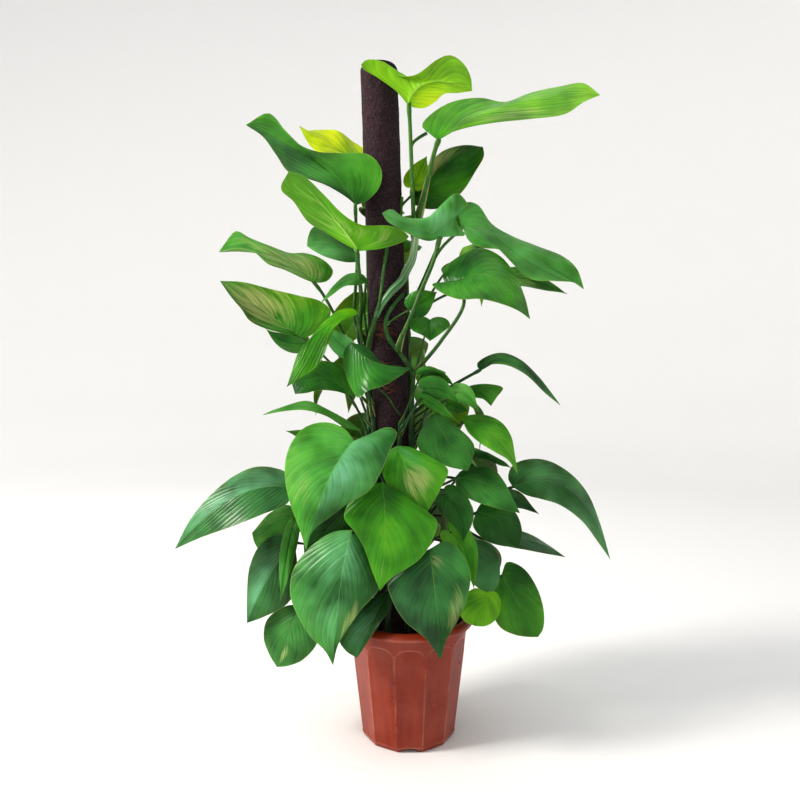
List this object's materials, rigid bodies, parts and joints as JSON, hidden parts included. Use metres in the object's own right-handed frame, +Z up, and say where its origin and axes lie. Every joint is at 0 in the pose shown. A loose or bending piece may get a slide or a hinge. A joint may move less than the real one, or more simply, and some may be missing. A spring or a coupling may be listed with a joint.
{
  "type": "potted golden pothos",
  "caption": "Climbing golden pothos on a felt-wrapped pole, in a round moulded nursery pot with flat panels, filled with soil.",
  "frame": {"origin": "middle of the underside of the pot, where it stands", "axes": "+Z up along the pot's axis, -Y towards the front of the plant as pictured"},
  "size_m": [0.5923, 0.3, 0.9232],
  "materials": {
    "pot_plastic": "terracotta-coloured plastic, moulded, satin",
    "potting_soil": "dark peat and bark, moist, matt",
    "pipe_plastic": "plain grey plastic pipe",
    "felt": "dark purple-brown felt, matt",
    "foliage": "waxy green leaves, partly marbled cream, on green stems"
  },
  "bodies": {
    "root": {"pot": "pot_plastic", "soil": "potting_soil", "pole_core": "pipe_plastic", "pole_wrap": "felt", "vine_01": "foliage", "vine_02": "foliage", "vine_03": "foliage", "vine_04": "foliage", "vine_05": "foliage", "vine_06": "foliage", "vine_07": "foliage", "vine_08": "foliage", "vine_09": "foliage", "vine_10": "foliage", "vine_11": "foliage", "vine_12": "foliage", "vine_13": "foliage"}
  },
  "joints": []
}
